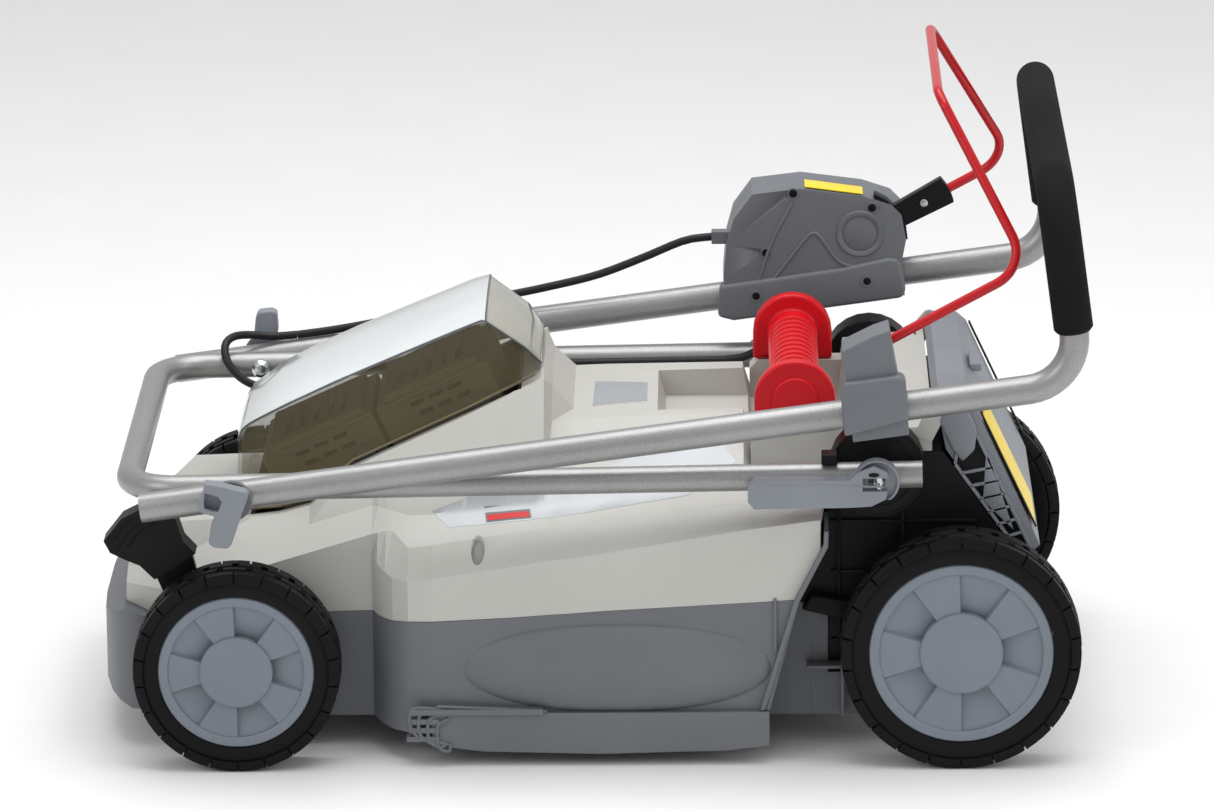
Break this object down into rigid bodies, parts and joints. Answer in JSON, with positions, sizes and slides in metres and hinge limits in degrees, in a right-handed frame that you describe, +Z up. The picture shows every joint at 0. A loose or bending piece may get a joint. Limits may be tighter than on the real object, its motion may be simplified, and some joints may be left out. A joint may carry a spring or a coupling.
{
  "type": "push lawn mower",
  "caption": "Cordless walk-behind lawn mower with a clear-lidded battery bay, stored with its two-part handle folded over the deck",
  "frame": {"origin": "on the ground under the middle of the machine's length and width", "axes": "+X to the rear, +Y to the machine's right-hand side, +Z up"},
  "size_m": [0.8147, 0.498, 0.5472],
  "materials": {
    "grey_plastic": "fine-grained mid grey",
    "cream_plastic": "satin warm light grey",
    "black_plastic": "grained black",
    "battery_plastic": "dark grey",
    "smoked_clear": "smoked clear plastic, polished",
    "motor_metal": "black painted",
    "bare_steel": "dull zinc plate",
    "blade_steel": "black powder coat with ground edges",
    "zinc": "bright zinc plate",
    "board_green": "coated circuit board",
    "red_plastic": "satin red",
    "flap_plastic": "fine-grained light grey",
    "handle_tube": "silver grey powder coat",
    "grip_foam": "closed-cell foam",
    "box_plastic": "fine-grained blue grey",
    "lever_plastic": "fine-grained grey",
    "red_paint": "red powder coat",
    "cable_sheath": "black cable sheath",
    "tyre_rubber": "matte black tyre",
    "wheel_plastic": "fine-grained blue grey"
  },
  "bodies": {
    "chassis": {"deck_lower": "grey_plastic", "body_cover": "cream_plastic", "rear_chassis": "black_plastic", "side_comb_left": "grey_plastic", "side_comb_right": "grey_plastic", "battery_bay": "black_plastic", "battery_front": "battery_plastic", "battery_rear": "battery_plastic", "motor_housing": "motor_metal", "control_board": "board_green", "carry_handle": "red_plastic", "flap_rod": "zinc", "pivot_disc_left": "black_plastic", "pivot_disc_right": "black_plastic", "cam_bolt_left": "zinc", "cam_bolt_right": "zinc"},
    "blade_spindle": {"rotor_shaft": "bare_steel", "blade_holder": "black_plastic", "blade": "blade_steel", "blade_bolt": "zinc"},
    "battery_lid": {"battery_lid": "smoked_clear"},
    "rear_flap": {"rear_flap": "flap_plastic"},
    "front_crank": {"front_axle": "bare_steel", "height_lever": "black_plastic"},
    "rear_crank": {"rear_axle": "bare_steel"},
    "link_rod": {"link_rod": "bare_steel"},
    "wheel_front_left": {"tyre_front_left": "tyre_rubber", "hub_front_left": "wheel_plastic", "hub_cap_front_left": "wheel_plastic"},
    "wheel_front_right": {"tyre_front_right": "tyre_rubber", "hub_front_right": "wheel_plastic", "hub_cap_front_right": "wheel_plastic"},
    "wheel_rear_left": {"tyre_rear_left": "tyre_rubber", "hub_rear_left": "wheel_plastic", "hub_cap_rear_left": "wheel_plastic"},
    "wheel_rear_right": {"tyre_rear_right": "tyre_rubber", "hub_rear_right": "wheel_plastic", "hub_cap_rear_right": "wheel_plastic"},
    "lower_handle": {"lower_handle": "handle_tube", "tube_clip": "black_plastic", "wing_bolt_left": "zinc", "wing_bolt_right": "zinc", "cable_lower": "cable_sheath", "cable_tail": "cable_sheath"},
    "upper_handle": {"upper_handle": "handle_tube", "foam_grip": "grip_foam", "switch_box_inner": "box_plastic", "switch_box_outer": "box_plastic", "bail_bracket": "box_plastic", "cable_gland": "box_plastic", "cable_upper": "cable_sheath", "cable_fold": "cable_sheath"},
    "bail": {"bail": "red_paint", "bail_socket": "black_plastic"},
    "lock_button": {"lock_button": "red_plastic"},
    "cam_lever_left": {"cam_lever_left": "lever_plastic"},
    "cam_lever_right": {"cam_lever_right": "lever_plastic"},
    "wing_nut_left": {"wing_nut_left": "lever_plastic"},
    "wing_nut_right": {"wing_nut_right": "lever_plastic"}
  },
  "joints": [
    {"name": "lower_fold", "type": "hinge", "parent": "chassis", "child": "lower_handle", "pos_m": [0.23565, 0, 0.24112], "axis": [0, 1, 0], "range_deg": [0, 135], "deforming": ["cable_tail"]},
    {"name": "upper_unfold", "type": "hinge", "parent": "lower_handle", "child": "upper_handle", "pos_m": [-0.28835, 0, 0.233], "axis": [0, -1, 0], "range_deg": [0, 172], "deforming": ["cable_fold"]},
    {"name": "bail_squeeze", "type": "hinge", "parent": "upper_handle", "child": "bail", "pos_m": [0.22735, 0, 0.345], "axis": [0, 1, 0], "range_deg": [0, 20], "stiffness_Nm_per_rad": 0.8, "springref_deg": -11.46},
    {"name": "lock_push", "type": "slide", "parent": "upper_handle", "child": "lock_button", "axis": [0, -1, 0], "range_m": [0, 0.002], "stiffness_N_per_m": 300, "springref_m": -0.001},
    {"name": "battery_lid_open", "type": "hinge", "parent": "chassis", "child": "battery_lid", "pos_m": [-0.28935, 0, 0.187], "axis": [0, -1, 0], "range_deg": [0, 70]},
    {"name": "rear_flap_open", "type": "hinge", "parent": "chassis", "child": "rear_flap", "pos_m": [0.28665, 0, 0.283], "axis": [0, -1, 0], "range_deg": [0, 75], "stiffness_Nm_per_rad": 0.6, "springref_deg": -28.65},
    {"name": "height_adjust", "type": "hinge", "parent": "chassis", "child": "front_crank", "pos_m": [-0.32235, 0, 0.096], "axis": [0, 1, 0], "range_deg": [0, 50]},
    {"name": "height_rear", "type": "hinge", "parent": "chassis", "child": "rear_crank", "pos_m": [0.26905, 0, 0.1095], "axis": [0, 1, 0], "range_deg": [0, 50]},
    {"name": "link_swing", "type": "hinge", "parent": "front_crank", "child": "link_rod", "pos_m": [-0.32235, 0, 0.121], "axis": [0, 1, 0], "range_deg": [-50, 0]},
    {"name": "wheel_front_left_spin", "type": "hinge", "parent": "front_crank", "child": "wheel_front_left", "pos_m": [-0.28835, -0.2035, 0.085], "axis": [0, 1, 0], "continuous": true},
    {"name": "wheel_front_right_spin", "type": "hinge", "parent": "front_crank", "child": "wheel_front_right", "pos_m": [-0.28835, 0.2035, 0.085], "axis": [0, 1, 0], "continuous": true},
    {"name": "wheel_rear_left_spin", "type": "hinge", "parent": "rear_crank", "child": "wheel_rear_left", "pos_m": [0.30305, -0.2035, 0.0985], "axis": [0, 1, 0], "continuous": true},
    {"name": "wheel_rear_right_spin", "type": "hinge", "parent": "rear_crank", "child": "wheel_rear_right", "pos_m": [0.30305, 0.2035, 0.0985], "axis": [0, 1, 0], "continuous": true},
    {"name": "blade_spin", "type": "hinge", "parent": "chassis", "child": "blade_spindle", "pos_m": [0.00165, 0, 0.06], "axis": [0, 0, 1], "continuous": true},
    {"name": "cam_lever_left_swing", "type": "hinge", "parent": "chassis", "child": "cam_lever_left", "pos_m": [0.23565, -0.213, 0.24112], "axis": [0, 0, 1], "range_deg": [0, 100]},
    {"name": "cam_lever_right_swing", "type": "hinge", "parent": "chassis", "child": "cam_lever_right", "pos_m": [0.23565, 0.213, 0.24112], "axis": [0, 0, -1], "range_deg": [0, 100]},
    {"name": "wing_nut_left_turn", "type": "hinge", "parent": "lower_handle", "child": "wing_nut_left", "pos_m": [-0.28835, -0.24, 0.233], "axis": [0, 1, 0], "continuous": true},
    {"name": "wing_nut_right_turn", "type": "hinge", "parent": "lower_handle", "child": "wing_nut_right", "pos_m": [-0.28835, 0.24, 0.233], "axis": [0, 1, 0], "continuous": true}
  ],
  "couplings": [
    {"joint": "upper_unfold", "follows": "lower_fold", "ratio": 1.27},
    {"joint": "height_rear", "follows": "height_adjust", "ratio": 1},
    {"joint": "link_swing", "follows": "height_adjust", "ratio": -1}
  ]
}
